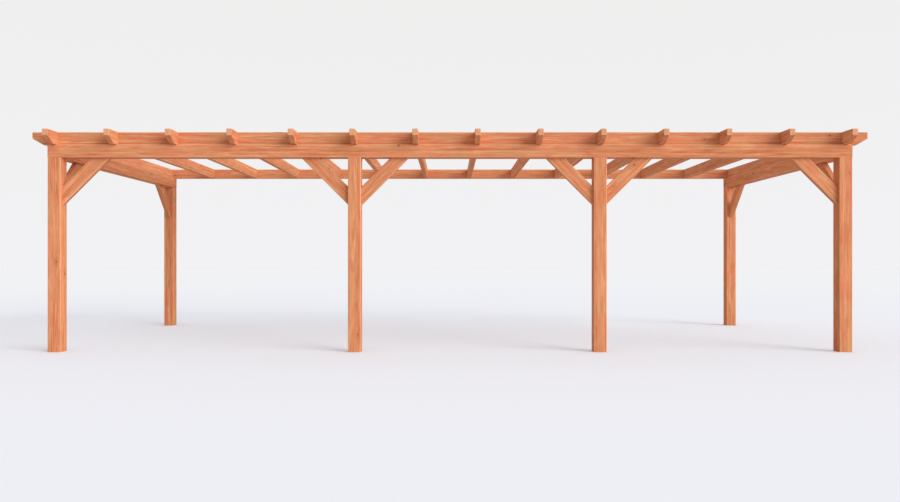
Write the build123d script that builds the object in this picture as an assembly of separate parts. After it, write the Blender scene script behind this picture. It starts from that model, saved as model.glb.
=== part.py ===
from build123d import *
import math
import os

# A lean-to veranda: an open timber frame of six posts, a beam along the front and one down each
# side, and a layer of rafters that cross the front purlin in laps and end at a wall plate.
# +X runs along the wall to the right, +Y towards the wall and +Z up. Lengths are millimetres.
# The origin is on the ground, at the middle of the plan.

# Square timber: posts, and the ring of beams that lies flush on them
POST_WIDTH = 150
POST_HEIGHT = 2260
BEAM_DEPTH = 150

# Planks on edge: rafters and front purlin of one stock, and a wall plate of the same depth
PLANK_DEPTH = 150
PLANK_THICKNESS = 65
WALL_PLATE_THICKNESS = 65
HOUSING_DEPTH = 15

# Planed arrises: every long edge is taken off at 45 degrees
ARRIS = 5

# Plan: bays between the middles of the front posts, and the front posts' faces to the wall
LEFT_BAY = 3485
MIDDLE_BAY = 2855
RIGHT_BAY = 2850
FRONT_TO_WALL = 3700
RAFTER_SPACES_OF_BAYS = (5, 4, 4)

# Free ends of the rafters and the purlin: an upright face above, and a slanting cut below it
FRONT_OVERHANG = 200
SIDE_OVERHANG = 200
END_FACE_HEIGHT = 75
END_CUT_ANGLE = math.radians(30)

# Braces: the leg is measured down the post, from the beam's underside to the lowest point
BRACE_WIDTH = 150
BRACE_THICKNESS = 65
BRACE_LEG = 550
REAR_BRACE_LEG = 500
BRACE_ANGLE = math.radians(45)

# Laps: the lower part of a crossing as a share of the depth, and the tongue's share of the width
LAP_SHARE = 0.5
TONGUE_LENGTH_SHARE = 2 / 3

# Levels, and how far the slanting cuts reach
beam_bottom = POST_HEIGHT
beam_top = beam_bottom + BEAM_DEPTH
plank_bottom = beam_top
plank_top = plank_bottom + PLANK_DEPTH
plank_lap = plank_bottom + PLANK_DEPTH * LAP_SHARE
beam_lap = beam_bottom + BEAM_DEPTH * LAP_SHARE
end_cut_length = (PLANK_DEPTH - END_FACE_HEIGHT) / math.tan(END_CUT_ANGLE)

# Places across the width
front_width = LEFT_BAY + MIDDLE_BAY + RIGHT_BAY + POST_WIDTH
left_face = -front_width / 2
right_face = front_width / 2
first_post_x = left_face + POST_WIDTH / 2
post_middles = [
    first_post_x,
    first_post_x + LEFT_BAY,
    first_post_x + LEFT_BAY + MIDDLE_BAY,
    first_post_x + LEFT_BAY + MIDDLE_BAY + RIGHT_BAY,
]

# Places from front to back
rafter_front = -(FRONT_OVERHANG + FRONT_TO_WALL) / 2
front_face = rafter_front + FRONT_OVERHANG
front_back = front_face + POST_WIDTH
front_middle = front_face + POST_WIDTH / 2
wall_line = front_face + FRONT_TO_WALL
rear_front = wall_line - POST_WIDTH
plate_front = wall_line - WALL_PLATE_THICKNESS
rafter_rear = plate_front + HOUSING_DEPTH
purlin_front = front_middle - PLANK_THICKNESS / 2
purlin_back = front_middle + PLANK_THICKNESS / 2
tongue_front = front_back - POST_WIDTH * TONGUE_LENGTH_SHARE


def block(x_range, y_range, z_range):
    """A squared timber that fills three ranges."""
    corner = Pos(x_range[0], y_range[0], z_range[0])
    sizes = [high - low for low, high in (x_range, y_range, z_range)]
    return corner * Box(*sizes, align=(Align.MIN, Align.MIN, Align.MIN))


def plank_across(outline, y_middle, thickness):
    """A plank whose outline is drawn in X and Z."""
    face = Plane.XZ.offset(-y_middle) * Polygon(*outline, align=None)
    return extrude(face, amount=thickness / 2, both=True)


def plank_along(outline, x_middle, thickness):
    """A plank whose outline is drawn in Y and Z."""
    face = Plane.YZ.offset(x_middle) * Polygon(*outline, align=None)
    return extrude(face, amount=thickness / 2, both=True)


def middle_range(middle, width):
    """The range of a given width about its middle."""
    return (middle - width / 2, middle + width / 2)


def eased(edges):
    """The timber that the edges belong to, with these edges planed off."""
    return chamfer(edges, length=ARRIS)


def rafter_middles():
    """Rafters stand over every front post and divide each bay into equal spaces."""
    places = [post_middles[0]]
    for bay, spaces in enumerate(RAFTER_SPACES_OF_BAYS):
        step = (post_middles[bay + 1] - post_middles[bay]) / spaces
        places += [post_middles[bay] + step * count for count in range(1, spaces + 1)]
    return places


def post(x_middle, y_front):
    """A square post from the ground to the underside of the beams."""
    timber = block(middle_range(x_middle, POST_WIDTH), (y_front, y_front + POST_WIDTH), (0, POST_HEIGHT))
    return eased(timber.edges().filter_by(Axis.Z))


def side_beam_range(x_middle):
    """A side beam is as wide as the corner post that carries it."""
    return middle_range(x_middle, POST_WIDTH)


def front_beam():
    """The front beam, housed from behind at both ends for the tongues of the side beams."""
    timber = block((left_face, right_face), (front_face, front_back), (beam_bottom, beam_top))
    beam = eased(timber.edges().filter_by(Axis.X))
    for x_middle in (post_middles[0], post_middles[-1]):
        beam -= block(side_beam_range(x_middle), (tongue_front, front_back), (beam_bottom, beam_lap))
    return beam


def side_beam(x_middle):
    """A side beam from the front beam to the wall, with a tongue that bears on the corner post."""
    timber = block(side_beam_range(x_middle), (front_back, wall_line), (beam_bottom, beam_top))
    tongue = block(side_beam_range(x_middle), (tongue_front, front_back), (beam_bottom, beam_lap))
    return eased(timber.edges().filter_by(Axis.Y)) + tongue


def front_purlin():
    """The purlin on the front beam, notched from above for every rafter, with slanted free ends."""
    left_end = left_face - SIDE_OVERHANG
    right_end = right_face + SIDE_OVERHANG
    outline = [
        (left_end, plank_top),
        (left_end, plank_top - END_FACE_HEIGHT),
        (left_end + end_cut_length, plank_bottom),
        (right_end - end_cut_length, plank_bottom),
        (right_end, plank_top - END_FACE_HEIGHT),
        (right_end, plank_top),
    ]
    plank = plank_across(outline, front_middle, PLANK_THICKNESS)
    purlin = eased(plank.faces().filter_by(Axis.Y).edges())
    for x_middle in rafter_middles():
        x_range = middle_range(x_middle, PLANK_THICKNESS)
        purlin -= block(x_range, (purlin_front, purlin_back), (plank_lap, plank_top))
    return purlin


def rafter(x_middle):
    """A rafter, notched from below over the purlin, with a slanted free end in front."""
    outline = [
        (rafter_front, plank_top),
        (rafter_front, plank_top - END_FACE_HEIGHT),
        (rafter_front + end_cut_length, plank_bottom),
        (rafter_rear, plank_bottom),
        (rafter_rear, plank_top),
    ]
    plank = plank_along(outline, x_middle, PLANK_THICKNESS)
    edges = plank.faces().filter_by(Axis.X).edges()
    timber = eased([edge for edge in edges if edge.center().Y < plate_front])
    x_range = middle_range(x_middle, PLANK_THICKNESS)
    return timber - block(x_range, (purlin_front, purlin_back), (plank_bottom, plank_lap))


def wall_plate():
    """The plate against the wall, carried by the side beams, that houses the rafters' rear ends."""
    timber = block((left_face, right_face), (plate_front, wall_line), (plank_bottom, plank_top))
    plate = eased(timber.edges().filter_by(Axis.X))
    for x_middle in rafter_middles():
        x_range = middle_range(x_middle, PLANK_THICKNESS)
        plate -= block(x_range, (plate_front, rafter_rear), (plank_bottom, plank_top))
    return plate


def brace_outline(post_face, direction, leg):
    """A sloping brace between a post's face and the beams' underside, seen from the side."""
    reach = leg / math.tan(BRACE_ANGLE)
    return [
        (post_face, beam_bottom - leg + BRACE_WIDTH / math.cos(BRACE_ANGLE)),
        (post_face, beam_bottom - leg),
        (post_face + direction * reach, beam_bottom),
        (post_face + direction * (reach - BRACE_WIDTH / math.sin(BRACE_ANGLE)), beam_bottom),
    ]


def front_brace(x_middle, direction):
    """A brace in the front row, on one side of a front post."""
    outline = brace_outline(x_middle + direction * POST_WIDTH / 2, direction, BRACE_LEG)
    timber = plank_across(outline, front_middle, BRACE_THICKNESS)
    slope = Axis((0, 0, 0), (direction * math.cos(BRACE_ANGLE), 0, math.sin(BRACE_ANGLE)))
    return eased(timber.edges().filter_by(slope))


def side_brace(x_middle, post_face, direction, leg):
    """A brace under a side beam, on the face of a corner post or a rear post."""
    timber = plank_along(brace_outline(post_face, direction, leg), x_middle, BRACE_THICKNESS)
    slope = Axis((0, 0, 0), (0, direction * math.cos(BRACE_ANGLE), math.sin(BRACE_ANGLE)))
    return eased(timber.edges().filter_by(slope))


# Every piece of the frame by its name
pieces = {}
for number, x_middle in enumerate(post_middles, start=1):
    pieces[f"front_post_{number}"] = post(x_middle, front_face)
    if x_middle != post_middles[0]:
        pieces[f"front_brace_{number}_left"] = front_brace(x_middle, -1)
    if x_middle != post_middles[-1]:
        pieces[f"front_brace_{number}_right"] = front_brace(x_middle, 1)

for side, x_middle in (("left", post_middles[0]), ("right", post_middles[-1])):
    pieces[f"rear_post_{side}"] = post(x_middle, rear_front)
    pieces[f"side_beam_{side}"] = side_beam(x_middle)
    pieces[f"side_brace_{side}_front"] = side_brace(x_middle, front_back, 1, BRACE_LEG)
    pieces[f"side_brace_{side}_rear"] = side_brace(x_middle, rear_front, -1, REAR_BRACE_LEG)

pieces["front_beam"] = front_beam()
pieces["front_purlin"] = front_purlin()
pieces["wall_plate"] = wall_plate()
for number, x_middle in enumerate(rafter_middles(), start=1):
    pieces[f"rafter_{number:02d}"] = rafter(x_middle)

os.makedirs("parts", exist_ok=True)
for name, piece in pieces.items():
    export_step(piece, f"parts/{name}.step")
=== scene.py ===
import bpy
import math
import random
from mathutils import Color, Matrix, Vector


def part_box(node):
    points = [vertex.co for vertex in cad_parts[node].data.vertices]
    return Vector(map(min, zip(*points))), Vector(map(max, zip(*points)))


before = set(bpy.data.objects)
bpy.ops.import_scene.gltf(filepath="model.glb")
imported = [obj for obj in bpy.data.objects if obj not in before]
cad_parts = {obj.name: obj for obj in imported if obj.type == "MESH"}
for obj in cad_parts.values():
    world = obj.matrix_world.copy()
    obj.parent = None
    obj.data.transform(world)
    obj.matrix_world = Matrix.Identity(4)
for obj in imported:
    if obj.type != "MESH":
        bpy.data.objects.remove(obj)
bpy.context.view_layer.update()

# A lean-to veranda of stained softwood. Lengths are metres, in the frame of the loaded model:
# +X along the wall to the right, +Y towards the wall, +Z up, the ground at zero.

# Camera: level, in front of the posts, at the middle of the width
IMAGE_WIDTH = 900
IMAGE_MIDDLE_ROW = 251
HORIZON_ROW = 260.2
FILM_WIDTH_MM = 36
LENS_MM = 30
CAMERA_TO_POSTS = 8.70
CAMERA_HEIGHT = 1.067
CAMERA_REACH = 200

# Floor: pale where it is seen, paler far off, and darker for the light that it throws back up
FLOOR_SIZE = 160
FLOOR_NEAR = 6
FLOOR_FAR = 26
FLOOR_SEEN_COLOUR = (0.84, 0.852, 0.90, 1.0)
FLOOR_FAR_COLOUR = (0.865, 0.87, 0.885, 1.0)
FLOOR_BOUNCE_COLOUR = (0.60, 0.54, 0.50, 1.0)
FLOOR_ROUGHNESS = 0.9

# Light: a sky that is brightest overhead, and a wide soft lamp low on the right
BACKDROP_LOW_COLOUR = (0.885, 0.885, 0.900, 1.0)
BACKDROP_HIGH_COLOUR = (0.863, 0.863, 0.858, 1.0)
BACKDROP_HIGH_SHARE = 0.35
SKY_COLOUR = (1.0, 1.0, 1.0, 1.0)
SKY_LOW_STRENGTH = 0.10
SKY_TOP_STRENGTH = 1.12
LAMP_STRENGTH = 2.95
LAMP_SPREAD = math.radians(48)
LAMP_TURN_TO_RIGHT = math.radians(53)
LAMP_ELEVATION = math.radians(14)

# Eased edges
WELD_DISTANCE = 0.0001
EDGE_ROUNDING = 0.0012
EDGE_SEGMENTS = 2
EDGE_ANGLE = math.radians(30)

# The log: the stock it is picked from, where its pith lies from the middle of a timber, and how
# the stem bends
LOG_STOCK = "g_"
PITH_OFF_MIDDLE = 0.03
PITH_BESIDE_PLANK = (0.08, 0.15)
SQUARE_SHARE = 0.9
BRACE_SECTION = (0.065, 0.150)
SLOW_BEND_LENGTH = 2.4
SLOW_BEND_WIDTH = 0.25
SLOW_BEND_REACH = 0.06
QUICK_BEND_LENGTH = 0.5
QUICK_BEND_WIDTH = 0.055
QUICK_BEND_REACH = 0.005
SEED_RANGE = 40
SMALLEST = 0.00001

# Growth rings: each turns darker over its width and ends sharply
RING_WIDTH = 0.0065
RING_UNEVENNESS_WIDTH = 0.025
RINGS_OFF = 2.0
RING_BAND_WIDTH = 0.018
LATE_WOOD_RISE_SHARES = (0.35, 0.90)
LATE_WOOD_FALL_SHARES = (0.92, 1.0)
FAINTEST_RING_SHARE = 0.4

# Noise along the grain: length and width of streaks, lines, tints, fibres and patches
NOISE_MIDDLE = 0.5
SMOOTH_DETAIL = 1.0
PLAIN_DETAIL = 2.0
FINE_DETAIL = 4.0
PLAIN_ROUGHNESS = 0.5
FINE_ROUGHNESS = 0.6
STREAK_SIZE = (0.22, 0.030)
LINE_SIZE = (1.1, 0.012)
TINT_SIZE = (0.50, 0.055)
FIBRE_SIZE = (0.12, 0.0026)
PATCH_SIZE = (0.90, 0.20)

# Knots, and the grain that flows round them
KNOT_SPACING = 0.16
KNOT_LARGEST = 0.014
KNOT_FREE_SHARE = 0.4
KNOT_EDGE_SHARES = (0.8, 1.1)
KNOT_RINGS = 2.5
KNOT_FLOW_REACH = 0.012
KNOT_FLOW_RADII = 3.2
KNOT_FLOW_STRETCH_SHARE = 0.4

# Drying checks: their number round the pith, their size and how many are open
CHECK_COUNT = 26
CHECK_LENGTH = 0.5
CHECK_HALF_WIDTH = 0.0008
CHECK_PLACE_SHARES = (0.2, 0.8)
CHECK_OPEN_SHARES = (0.58, 0.78)
CHECK_EDGE_SHARES = (0.5, 1.2)

# Figure of the side faces: what makes it up, where it turns from red to warm to pale, and what
# is laid over it
BAND_SHARE = 0.22
STREAK_SHARE = 0.40
LINE_SHARE = 0.38
RED_TO_WARM_SHARES = (0.37, 0.51)
WARM_TO_PALE_SHARES = (0.49, 0.63)
TAN_RISE_SHARES = (0.45, 0.67)
TAN_SHARE = 0.6
ROSE_FALL_SHARES = (0.32, 0.52)
ROSE_SHARE = 0.45
LATE_WOOD_SHARE = 0.42
FIBRE_RISE_SHARES = (0.52, 0.75)
FIBRE_SHARE = 0.25
KNOT_FLOW_SHARE = 0.30
KNOT_SHARE = 0.75
CHECK_SHARE = 0.75

# Tone: patches within a timber, and that of its log, with posts of paler stock
PATCH_TONE_SHARE = 0.22
LOG_TONE_SHARES = (0.985, 1.035)
POST_TONE_SHARES = (1.03, 1.08)

# Cut ends: faces that look along the grain
END_FACING_SHARES = (0.55, 0.85)
END_BAND_SHARES = (0.35, 0.65)
END_TAN_SHARE = 0.6
END_LATE_WOOD_SHARE = 0.5

# Worn arrises and a painted highlight: pale along the long edges, partly wear and partly a painted
# highlight that keeps edges in shade as bright as the faces beside them
WEAR_AND_HIGHLIGHT_FULL = 0.004
WEAR_AND_HIGHLIGHT_NONE = 0.009
WEAR_AND_HIGHLIGHT_RAGGEDNESS = 0.006
WEAR_AND_HIGHLIGHT_SHARE = 0.55

# Surface: roughness, and relief as shares of one depth
BUMP_DEPTH = 0.0012
BUMP_STRENGTH = 0.5
SPECULAR_LEVEL = 0.03
LEAST_ROUGHNESS = 0.62
FIBRE_ROUGHNESS = 0.18
END_ROUGHNESS = 0.16
LATE_WOOD_RELIEF_SHARE = 0.30
FIBRE_RELIEF_SHARE = 0.35
KNOT_RELIEF_SHARE = 0.30
CHECK_RELIEF_SHARE = -1.0

# Display values run up to this white
DISPLAY_WHITE = 255

# Colour sockets of a mix node, by their places: it has several of one name
MIX_SHARE_INPUT = 0
MIX_UNDER_INPUT = 6
MIX_OVER_INPUT = 7
MIX_COLOUR_OUTPUT = 2


def display_colour(red, green, blue):
    """A colour in display values, as the linear values that shaders take."""
    display = Color([value / DISPLAY_WHITE for value in (red, green, blue)])
    return (*display.from_srgb_to_scene_linear(), 1.0)


# Colours of the stained timber
PALE_GRAIN = display_colour(238, 174, 132)
WARM_GRAIN = display_colour(220, 145, 104)
RED_GRAIN = display_colour(199, 115, 77)
TAN_GRAIN = display_colour(210, 154, 107)
ROSE_GRAIN = display_colour(220, 133, 101)
LATE_WOOD = display_colour(175, 94, 60)
KNOT_HEART = display_colour(124, 62, 38)
KNOT_RING = display_colour(162, 86, 52)
CUT_END = display_colour(231, 173, 137)
# Pale edge colour: wear, and also a painted highlight on edges that are in shade
WORN_AND_HIGHLIT_ARRIS = display_colour(242, 180, 137)
CHECK_DARK = display_colour(84, 42, 26)


class Nodes:
    """Adds nodes to one tree. An input is a plain value or another node's output."""

    def __init__(self, tree):
        self.tree = tree

    def add(self, kind, inputs, output=0, **settings):
        """A new node with its settings and inputs. Gives one of its outputs."""
        node = self.tree.nodes.new(kind)
        for name, value in settings.items():
            setattr(node, name, value)
        for socket, value in inputs.items():
            if isinstance(value, bpy.types.NodeSocket):
                self.tree.links.new(value, node.inputs[socket])
            else:
                node.inputs[socket].default_value = value
        return node.outputs[output] if node.outputs else None

    def math(self, operation, *values):
        """Arithmetic on plain values."""
        return self.add("ShaderNodeMath", dict(enumerate(values)), operation=operation)

    def vector(self, operation, *values):
        """Arithmetic on vectors."""
        output = "Value" if operation in ("LENGTH", "DOT_PRODUCT") else "Vector"
        return self.add("ShaderNodeVectorMath", dict(enumerate(values)), output, operation=operation)

    def noise(self, place, size, detail=PLAIN_DETAIL, roughness=PLAIN_ROUGHNESS, output="Fac"):
        """Noise with features of one length along the grain and one width across it."""
        length, width = size
        stretched = self.vector("DIVIDE", place, (length, width, width))
        inputs = {"Vector": stretched, "Scale": 1.0, "Detail": detail, "Roughness": roughness}
        return self.add("ShaderNodeTexNoise", inputs, output)

    def noise_of(self, value, width, detail=PLAIN_DETAIL):
        """Noise along one value, with features of one width."""
        inputs = {"W": self.math("DIVIDE", value, width), "Scale": 1.0, "Detail": detail}
        return self.add("ShaderNodeTexNoise", inputs, noise_dimensions="1D")

    def chance(self, value):
        """One random number for each whole value."""
        return self.add("ShaderNodeTexWhiteNoise", {"W": value}, "Value", noise_dimensions="1D")

    def step(self, value, start, end, low=0.0, high=1.0):
        """A smooth step from low to high between two values."""
        inputs = {"Value": value, "From Min": start, "From Max": end, "To Min": low, "To Max": high}
        return self.add("ShaderNodeMapRange", inputs, interpolation_type="SMOOTHSTEP")

    def sum(self, *weighted):
        """The sum of values, each times its weight."""
        total = 0.0
        for value, weight in weighted:
            total = self.math("MULTIPLY_ADD", value, weight, total)
        return total

    def blend(self, share, under, over, blend_type="MIX"):
        """A share of one colour laid over another."""
        inputs = {MIX_SHARE_INPUT: share, MIX_UNDER_INPUT: under, MIX_OVER_INPUT: over}
        settings = {"data_type": "RGBA", "blend_type": blend_type}
        return self.add("ShaderNodeMix", inputs, MIX_COLOUR_OUTPUT, **settings)

    def tinted(self, value, share, under, over):
        """A colour laid over another where a value is high, up to a share."""
        return self.blend(self.math("MULTIPLY", value, share), under, over)

    def parts(self, vector):
        """The outputs X, Y and Z of a vector."""
        return self.add("ShaderNodeSeparateXYZ", {"Vector": vector}).node.outputs


def knots(nodes, seeded):
    """Rounded spots where a branch grew: distance in knot radii, and a wider area of bent grain."""
    place = nodes.vector("DIVIDE", seeded, (KNOT_SPACING, KNOT_SPACING, KNOT_SPACING))
    cells = nodes.add("ShaderNodeTexVoronoi", {"Vector": place, "Scale": 1.0}).node.outputs
    offset = nodes.vector("SUBTRACT", place, cells["Position"])
    chance = nodes.add("ShaderNodeSeparateColor", {"Color": cells["Color"]}, "Red")
    radius = nodes.step(chance, KNOT_FREE_SHARE, 1.0, SMALLEST, KNOT_LARGEST / KNOT_SPACING)
    distance = nodes.math("DIVIDE", nodes.vector("LENGTH", offset), radius)
    long_offset = nodes.vector("MULTIPLY", offset, (KNOT_FLOW_STRETCH_SHARE, 1.0, 1.0))
    long_distance = nodes.math("DIVIDE", nodes.vector("LENGTH", long_offset), radius)
    flow = nodes.step(long_distance, 0.0, KNOT_FLOW_RADII, 1.0, 0.0)
    return distance, flow


def rings(nodes, place, pith, seeded, flow):
    """Growth rings round the pith: distance from it, late wood, slow bands, and angle about it."""
    slow_size = (SLOW_BEND_LENGTH, SLOW_BEND_WIDTH)
    quick_size = (QUICK_BEND_LENGTH, QUICK_BEND_WIDTH)
    bent = nodes.vector("SUBTRACT", place, pith)
    for size, reach in ((slow_size, SLOW_BEND_REACH), (quick_size, QUICK_BEND_REACH)):
        bend = nodes.noise(seeded, size, SMOOTH_DETAIL, output="Color")
        sway = nodes.vector("SUBTRACT", bend, (NOISE_MIDDLE, NOISE_MIDDLE, NOISE_MIDDLE))
        bent = nodes.vector("MULTIPLY_ADD", sway, (0.0, reach, reach), bent)
    across = nodes.vector("MULTIPLY", bent, (0.0, 1.0, 1.0))
    radius = nodes.math("MULTIPLY_ADD", flow, KNOT_FLOW_REACH, nodes.vector("LENGTH", across))
    unevenness = nodes.math("MULTIPLY", nodes.noise_of(radius, RING_UNEVENNESS_WIDTH), RINGS_OFF)
    count = nodes.math("ADD", nodes.math("DIVIDE", radius, RING_WIDTH), unevenness)
    within = nodes.math("FRACT", count)
    rise = nodes.step(within, *LATE_WOOD_RISE_SHARES)
    fall = nodes.step(within, *LATE_WOOD_FALL_SHARES, 1.0, 0.0)
    strength = nodes.step(nodes.chance(nodes.math("FLOOR", count)), 0.0, 1.0, FAINTEST_RING_SHARE, 1.0)
    late = nodes.math("MULTIPLY", nodes.math("MULTIPLY", rise, fall), strength)
    band = nodes.noise_of(radius, RING_BAND_WIDTH)
    sides = nodes.parts(across)
    angle = nodes.math("ARCTAN2", sides["Y"], sides["Z"])
    return radius, late, band, angle


def drying_checks(nodes, seeded, radius, angle):
    """Fine splits that run along the grain and point at the pith."""
    sector_angle = 2 * math.pi / CHECK_COUNT
    sectors = nodes.math("DIVIDE", angle, sector_angle)
    chance = nodes.chance(nodes.math("FLOOR", sectors))
    line = nodes.step(chance, 0.0, 1.0, *CHECK_PLACE_SHARES)
    turn = nodes.math("ABSOLUTE", nodes.math("SUBTRACT", nodes.math("FRACT", sectors), line))
    distance = nodes.math("MULTIPLY", nodes.math("MULTIPLY", turn, sector_angle), radius)
    along = nodes.math("MULTIPLY_ADD", chance, SEED_RANGE, nodes.parts(seeded)["X"])
    open_share = nodes.step(nodes.noise_of(along, CHECK_LENGTH, SMOOTH_DETAIL), *CHECK_OPEN_SHARES)
    half_width = nodes.math("MULTIPLY_ADD", open_share, CHECK_HALF_WIDTH, SMALLEST)
    return nodes.step(nodes.math("DIVIDE", distance, half_width), *CHECK_EDGE_SHARES, 1.0, 0.0)


def worn_and_highlit_arrises(nodes, place, half_size, end, streak):
    """How pale an edge is, from wear and from a painted highlight: fully near a long edge, and in a
    ragged line on both faces beside it.
    """
    from_faces = nodes.parts(nodes.vector("SUBTRACT", half_size, nodes.vector("ABSOLUTE", place)))
    on_side = nodes.math("MAXIMUM", from_faces["Y"], from_faces["Z"])
    on_end = nodes.math("MINIMUM", from_faces["Y"], from_faces["Z"])
    from_edge = nodes.math("MULTIPLY_ADD", nodes.math("SUBTRACT", on_end, on_side), end, on_side)
    sway = nodes.math("SUBTRACT", NOISE_MIDDLE, streak)
    ragged = nodes.math("MULTIPLY_ADD", sway, WEAR_AND_HIGHLIGHT_RAGGEDNESS, from_edge)
    return nodes.step(ragged, WEAR_AND_HIGHLIGHT_FULL, WEAR_AND_HIGHLIGHT_NONE, WEAR_AND_HIGHLIGHT_SHARE, 0.0)


def timber_group():
    """Solid softwood: growth rings round a pith, knots, fibres, checks and a streaky stain.

    X runs along the grain. The rings are cut by every face as the saw cuts a log, so that side
    faces show long figures and the ends show arcs."""
    group = bpy.data.node_groups.new("stained_softwood", "ShaderNodeTree")
    for name, kind in (("Place", "Vector"), ("Pith", "Vector"), ("Half Size", "Vector"),
                       ("Seed", "Vector"), ("End", "Float"), ("Tone", "Float")):
        group.interface.new_socket(name, in_out="INPUT", socket_type="NodeSocket" + kind)
    for name, kind in (("Colour", "Color"), ("Roughness", "Float"), ("Height", "Float")):
        group.interface.new_socket(name, in_out="OUTPUT", socket_type="NodeSocket" + kind)
    nodes = Nodes(group)
    given = group.nodes.new("NodeGroupInput").outputs
    place = given["Place"]
    seeded = nodes.vector("ADD", place, given["Seed"])

    knot_distance, flow = knots(nodes, seeded)
    radius, late, band, angle = rings(nodes, place, given["Pith"], seeded, flow)
    check = drying_checks(nodes, seeded, radius, angle)
    knot = nodes.step(knot_distance, *KNOT_EDGE_SHARES, 1.0, 0.0)
    streak = nodes.noise(seeded, STREAK_SIZE, FINE_DETAIL, FINE_ROUGHNESS)
    line = nodes.noise(seeded, LINE_SIZE)
    tint = nodes.noise(seeded, TINT_SIZE)
    fibre = nodes.noise(seeded, FIBRE_SIZE, PLAIN_DETAIL, FINE_ROUGHNESS)
    patch = nodes.noise(seeded, PATCH_SIZE)
    end = nodes.step(given["End"], *END_FACING_SHARES)
    worn_and_highlit = worn_and_highlit_arrises(nodes, place, given["Half Size"], end, streak)

    # Colour of the side faces
    figure = nodes.sum((band, BAND_SHARE), (streak, STREAK_SHARE), (line, LINE_SHARE))
    colour = nodes.blend(nodes.step(figure, *RED_TO_WARM_SHARES), RED_GRAIN, WARM_GRAIN)
    colour = nodes.blend(nodes.step(figure, *WARM_TO_PALE_SHARES), colour, PALE_GRAIN)
    colour = nodes.tinted(nodes.step(tint, *TAN_RISE_SHARES), TAN_SHARE, colour, TAN_GRAIN)
    rose = nodes.step(tint, *ROSE_FALL_SHARES, 1.0, 0.0)
    colour = nodes.tinted(rose, ROSE_SHARE, colour, ROSE_GRAIN)
    colour = nodes.tinted(late, LATE_WOOD_SHARE, colour, LATE_WOOD)
    colour = nodes.tinted(nodes.step(fibre, *FIBRE_RISE_SHARES), FIBRE_SHARE, colour, LATE_WOOD)
    colour = nodes.tinted(flow, KNOT_FLOW_SHARE, colour, LATE_WOOD)

    # Cut ends, worn arrises with their painted highlight, knots and checks
    end_band = nodes.step(band, *END_BAND_SHARES, 1.0, 0.0)
    end_colour = nodes.tinted(end_band, END_TAN_SHARE, CUT_END, TAN_GRAIN)
    end_colour = nodes.tinted(late, END_LATE_WOOD_SHARE, end_colour, LATE_WOOD)
    colour = nodes.blend(end, colour, end_colour)
    # Long edges turn pale: partly wear, partly a painted highlight that lights edges even where they
    # are in shade
    colour = nodes.blend(worn_and_highlit, colour, WORN_AND_HIGHLIT_ARRIS)
    knot_ring = nodes.math("SINE", nodes.math("MULTIPLY", knot_distance, KNOT_RINGS * 2 * math.pi))
    knot_colour = nodes.blend(nodes.step(knot_ring, -1.0, 1.0), KNOT_HEART, KNOT_RING)
    colour = nodes.tinted(knot, KNOT_SHARE, colour, knot_colour)
    colour = nodes.tinted(check, CHECK_SHARE, colour, CHECK_DARK)
    lightness = nodes.math("SUBTRACT", patch, NOISE_MIDDLE)
    tone = nodes.math("MULTIPLY_ADD", lightness, PATCH_TONE_SHARE, given["Tone"])
    shade = nodes.add("ShaderNodeCombineColor", {"Red": tone, "Green": tone, "Blue": tone})
    colour = nodes.blend(1.0, colour, shade, "MULTIPLY")

    # Surface
    uneven = nodes.sum((fibre, FIBRE_ROUGHNESS), (end, END_ROUGHNESS))
    roughness = nodes.math("ADD", uneven, LEAST_ROUGHNESS)
    height = nodes.sum((late, LATE_WOOD_RELIEF_SHARE), (fibre, FIBRE_RELIEF_SHARE),
                       (knot, KNOT_RELIEF_SHARE), (check, CHECK_RELIEF_SHARE))
    made = group.nodes.new("NodeGroupOutput").inputs
    for name, socket in (("Colour", colour), ("Roughness", roughness), ("Height", height)):
        group.links.new(socket, made[name])
    return group


def grain_axes(name):
    """The directions along the grain, across it and through the timber, for a node by its name."""
    if "_post_" in name:
        return Vector((0, 0, 1)), Vector((1, 0, 0)), Vector((0, 1, 0))
    if name.startswith("front_brace"):
        along = Vector((1 if name.endswith("right") else -1, 0, 1)).normalized()
        across = Vector((0, 1, 0))
    elif name.startswith("side_brace"):
        along = Vector((0, 1 if name.endswith("front") else -1, 1)).normalized()
        across = Vector((1, 0, 0))
    elif name.startswith(("rafter", "side_beam")):
        along, across = Vector((0, 1, 0)), Vector((-1, 0, 0))
    else:
        along, across = Vector((1, 0, 0)), Vector((0, 1, 0))
    return along, across, along.cross(across)


def timber_section(name, across, through):
    """A timber's middle, and its width across and through the grain.

    The box round a sloping brace has its middle on the brace's lower edge."""
    low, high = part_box(name)
    middle = (low + high) / 2
    if "_brace_" in name:
        return middle + through * math.copysign(BRACE_SECTION[1] / 2, through.z), BRACE_SECTION
    size = high - low
    return middle, (abs(size.dot(across)), abs(size.dot(through)))


def log_pith(log, section):
    """Where the pith lies from the middle: inside a square timber, and beside a plank."""
    width_across, width_through = section
    across = log.uniform(-PITH_OFF_MIDDLE, PITH_OFF_MIDDLE)
    through = log.uniform(-PITH_OFF_MIDDLE, PITH_OFF_MIDDLE)
    if width_across < width_through * SQUARE_SHARE:
        across = log.choice((-1, 1)) * log.uniform(*PITH_BESIDE_PLANK)
    return 0.0, across, through


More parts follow.
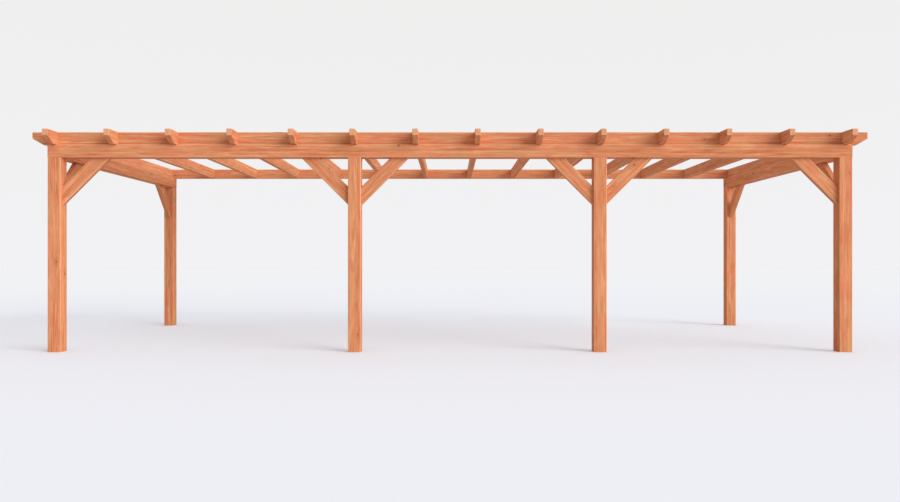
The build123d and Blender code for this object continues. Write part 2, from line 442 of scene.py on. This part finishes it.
def timber_material(name, group):
    """A timber's own material: the shared softwood, laid along its grain, from its own log."""
    along, across, through = grain_axes(name)
    middle, section = timber_section(name, across, through)
    log = random.Random(LOG_STOCK + name)
    material = bpy.data.materials.new("timber_" + name)
    material.use_nodes = True
    material.node_tree.nodes.clear()
    nodes = Nodes(material.node_tree)
    turn = Matrix((along, across, through)).transposed().to_euler()
    coordinates = nodes.tree.nodes.new("ShaderNodeTexCoord").outputs
    placed = {"Vector": coordinates["Object"], "Location": middle, "Rotation": turn}
    facing = nodes.vector("DOT_PRODUCT", coordinates["Normal"], along)
    made = nodes.tree.nodes.new("ShaderNodeGroup")
    made.node_tree = group
    place = nodes.add("ShaderNodeMapping", placed, vector_type="TEXTURE")
    nodes.tree.links.new(place, made.inputs["Place"])
    nodes.tree.links.new(nodes.math("ABSOLUTE", facing), made.inputs["End"])
    made.inputs["Pith"].default_value = log_pith(log, section)
    made.inputs["Half Size"].default_value = (0, section[0] / 2, section[1] / 2)
    made.inputs["Seed"].default_value = [log.uniform(0, SEED_RANGE) for _ in range(3)]
    tones = POST_TONE_SHARES if "_post_" in name else LOG_TONE_SHARES
    made.inputs["Tone"].default_value = log.uniform(*tones)
    relief = {"Height": made.outputs["Height"], "Strength": BUMP_STRENGTH, "Distance": BUMP_DEPTH}
    skin = {"Base Color": made.outputs["Colour"], "Roughness": made.outputs["Roughness"],
            "Normal": nodes.add("ShaderNodeBump", relief), "Specular IOR Level": SPECULAR_LEVEL}
    shader = nodes.add("ShaderNodeBsdfPrincipled", skin)
    nodes.add("ShaderNodeOutputMaterial", {"Surface": shader})
    return material


def dress(name, node, group):
    """Gives a timber its wood and rounds its edges a little."""
    node.data.materials.clear()
    node.data.materials.append(timber_material(name, group))
    weld = node.modifiers.new("weld", "WELD")
    weld.merge_threshold = WELD_DISTANCE
    edges = node.modifiers.new("eased_edges", "BEVEL")
    edges.width = EDGE_ROUNDING
    edges.segments = EDGE_SEGMENTS
    edges.limit_method = "ANGLE"
    edges.angle_limit = EDGE_ANGLE


def shown_share(nodes):
    """One for rays that show the stage, seen straight, mirrored or through something clear."""
    path = nodes.add("ShaderNodeLightPath", {}).node.outputs
    mirrored = nodes.math("MAXIMUM", path["Is Glossy Ray"], path["Is Transmission Ray"])
    return nodes.math("MAXIMUM", path["Is Camera Ray"], mirrored)


def plain_floor():
    """A wide pale floor that keeps the object's shadow."""
    bpy.ops.mesh.primitive_plane_add(size=FLOOR_SIZE)
    floor = bpy.context.object
    floor.name = "floor"
    material = bpy.data.materials.new("floor_pale")
    material.use_nodes = True
    material.node_tree.nodes.clear()
    nodes = Nodes(material.node_tree)
    place = nodes.add("ShaderNodeTexCoord", {}, "Object")
    far = nodes.step(nodes.vector("LENGTH", place), FLOOR_NEAR, FLOOR_FAR)
    seen_colour = nodes.blend(far, FLOOR_SEEN_COLOUR, FLOOR_FAR_COLOUR)
    colour = nodes.blend(shown_share(nodes), FLOOR_BOUNCE_COLOUR, seen_colour)
    skin = {"Base Color": colour, "Roughness": FLOOR_ROUGHNESS, "Specular IOR Level": 0}
    shader = nodes.add("ShaderNodeBsdfPrincipled", skin)
    nodes.add("ShaderNodeOutputMaterial", {"Surface": shader})
    floor.data.materials.append(material)


def backdrop():
    """A soft sky that is brightest overhead, shown as an even pale backdrop."""
    world = bpy.data.worlds.new("studio")
    bpy.context.scene.world = world
    world.use_nodes = True
    world.node_tree.nodes.clear()
    nodes = Nodes(world.node_tree)
    direction = nodes.add("ShaderNodeTexCoord", {}, "Generated")
    up = nodes.math("MAXIMUM", nodes.parts(direction)["Z"], 0)
    strength = nodes.math("MULTIPLY_ADD", up, SKY_TOP_STRENGTH - SKY_LOW_STRENGTH, SKY_LOW_STRENGTH)
    sky = nodes.add("ShaderNodeBackground", {"Color": SKY_COLOUR, "Strength": strength})
    high = nodes.step(up, 0, BACKDROP_HIGH_SHARE)
    shown_colour = nodes.blend(high, BACKDROP_LOW_COLOUR, BACKDROP_HIGH_COLOUR)
    shown = nodes.add("ShaderNodeBackground", {"Color": shown_colour, "Strength": 1})
    surface = nodes.add("ShaderNodeMixShader", {0: shown_share(nodes), 1: sky, 2: shown})
    nodes.add("ShaderNodeOutputWorld", {"Surface": surface})


def key_light():
    """A wide soft light from the right and in front."""
    lamp = bpy.data.lights.new("key", "SUN")
    lamp.energy = LAMP_STRENGTH
    lamp.angle = LAMP_SPREAD
    light = bpy.data.objects.new("key", lamp)
    level = math.cos(LAMP_ELEVATION)
    towards = Vector((math.sin(LAMP_TURN_TO_RIGHT) * level,
                      -math.cos(LAMP_TURN_TO_RIGHT) * level,
                      math.sin(LAMP_ELEVATION)))
    light.rotation_mode = "QUATERNION"
    light.rotation_quaternion = towards.to_track_quat("Z", "Y")
    bpy.context.scene.collection.objects.link(light)


def camera():
    """A level camera in front, at the middle of the width."""
    data = bpy.data.cameras.new("camera")
    data.sensor_width = FILM_WIDTH_MM
    data.lens = LENS_MM
    data.shift_y = (HORIZON_ROW - IMAGE_MIDDLE_ROW) / IMAGE_WIDTH
    data.clip_end = CAMERA_REACH
    posts_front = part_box("front_post_1")[0].y
    eye = bpy.data.objects.new("camera", data)
    eye.location = (0, posts_front - CAMERA_TO_POSTS, CAMERA_HEIGHT)
    eye.rotation_euler = (math.pi / 2, 0, 0)
    bpy.context.scene.collection.objects.link(eye)
    bpy.context.scene.camera = eye


softwood = timber_group()
for name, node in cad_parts.items():
    dress(name, node, softwood)
plain_floor()
backdrop()
key_light()
camera()
bpy.context.scene.view_settings.view_transform = "Standard"
